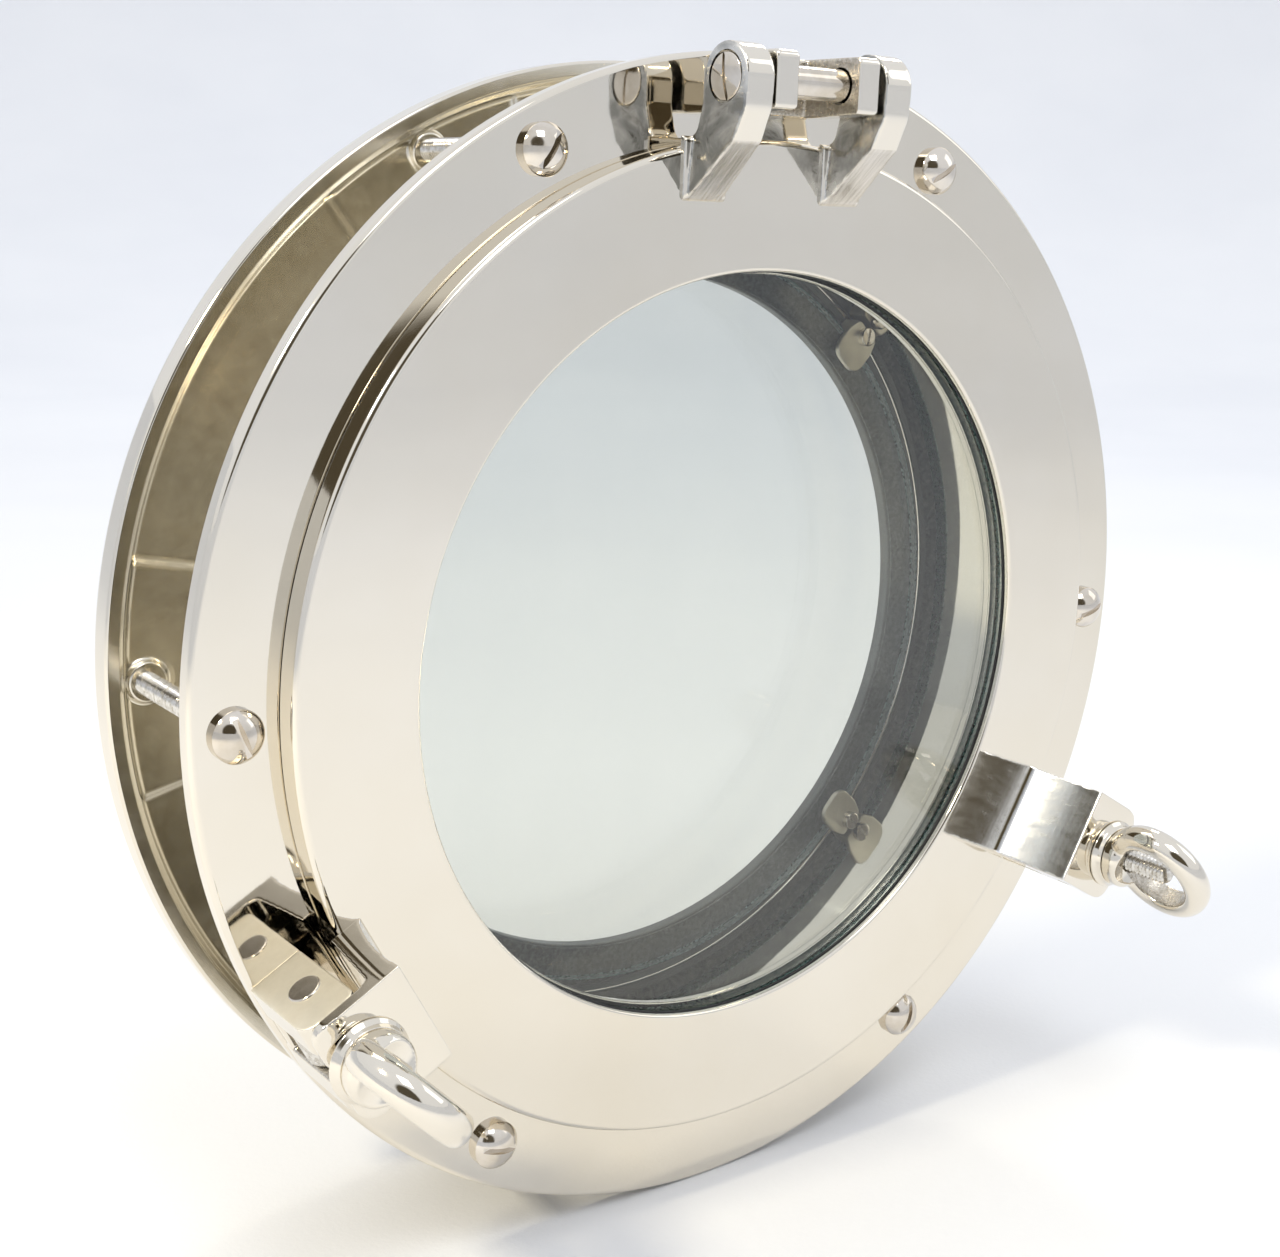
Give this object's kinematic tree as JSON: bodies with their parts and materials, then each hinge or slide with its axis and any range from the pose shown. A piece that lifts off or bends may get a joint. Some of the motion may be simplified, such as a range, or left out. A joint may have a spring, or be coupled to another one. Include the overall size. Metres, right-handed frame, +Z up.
{
  "type": "opening porthole",
  "caption": "Round opening porthole in polished nickel: glazed lid on a top hinge, swing-bolt dogs with ring nuts, spigot with an outer pane and a clamp ring.",
  "frame": {"origin": "on the porthole's axis, in the plane where the flange's back seats against the wall", "axes": "+Y rearward through the wall along the porthole's axis; +Z up, towards the hinge; +X to the right for someone who faces the lid"},
  "size_m": [0.3048, 0.1246, 0.3048],
  "materials": {
    "polished_nickel": "bright nickel plate on cast brass, with fine polishing marks, smudges and a cast skin in the recesses",
    "nickel_screws": "bright nickel plate, turned",
    "steel_screws": "stainless, turned threads, satin",
    "clear_glass": "clear toughened glass with a slight green edge",
    "black_rubber": "matte black rubber",
    "sealant": "dark bedding sealant, cured"
  },
  "bodies": {
    "frame": {"main_frame": "polished_nickel", "rear_ring": "polished_nickel", "flange_screws": "nickel_screws", "lid_seal": "black_rubber", "hinge_bracket": "polished_nickel", "bracket_screws": "steel_screws", "dog_bracket_left": "polished_nickel", "dog_bracket_right": "polished_nickel", "dog_pin_left": "nickel_screws", "dog_pin_right": "nickel_screws", "rear_pane": "clear_glass", "pane_bedding": "sealant", "pane_clips": "polished_nickel", "clip_screws": "steel_screws"},
    "lid": {"lid_ring": "polished_nickel", "lid_glass": "clear_glass", "glass_gasket": "black_rubber", "glass_retainer": "polished_nickel", "retainer_screws": "steel_screws", "hinge_pin": "nickel_screws", "lid_lug_left": "polished_nickel", "lid_lug_right": "polished_nickel", "lug_screws": "steel_screws"},
    "dog_left": {"dog_bolt_left": "steel_screws"},
    "collar_left": {"dog_washer_left": "polished_nickel"},
    "nut_left": {"ring_nut_left": "polished_nickel"},
    "dog_right": {"dog_bolt_right": "steel_screws"},
    "collar_right": {"dog_washer_right": "polished_nickel"},
    "nut_right": {"ring_nut_right": "polished_nickel"}
  },
  "joints": [
    {"name": "lid_swing", "type": "hinge", "parent": "frame", "child": "lid", "pos_m": [0, -0.0244, 0.1442], "axis": [-1, 0, 0], "range_deg": [0, 170]},
    {"name": "dog_swing_left", "type": "hinge", "parent": "frame", "child": "dog_left", "pos_m": [-0.12496, -0.0185, -0.07156], "axis": [0.497, 0, -0.8678], "range_deg": [0, 95]},
    {"name": "nut_travel_left", "type": "slide", "parent": "dog_left", "child": "collar_left", "axis": [0, -1, 0], "range_m": [0, 0.00509]},
    {"name": "nut_spin_left", "type": "hinge", "parent": "collar_left", "child": "nut_left", "pos_m": [-0.12496, -0.045, -0.07156], "axis": [0, -1, 0], "range_deg": [0, 1440]},
    {"name": "dog_swing_right", "type": "hinge", "parent": "frame", "child": "dog_right", "pos_m": [0.12521, -0.0185, -0.07113], "axis": [0.4939, 0, 0.8695], "range_deg": [0, 95]},
    {"name": "nut_travel_right", "type": "slide", "parent": "dog_right", "child": "collar_right", "axis": [0, -1, 0], "range_m": [0, 0.00509]},
    {"name": "nut_spin_right", "type": "hinge", "parent": "collar_right", "child": "nut_right", "pos_m": [0.12521, -0.045, -0.07113], "axis": [0, -1, 0], "range_deg": [0, 1440]}
  ],
  "couplings": [
    {"joint": "nut_travel_left", "follows": "nut_spin_left", "m_per_rad": 0.00020213},
    {"joint": "nut_travel_right", "follows": "nut_spin_right", "m_per_rad": 0.00020213}
  ]
}
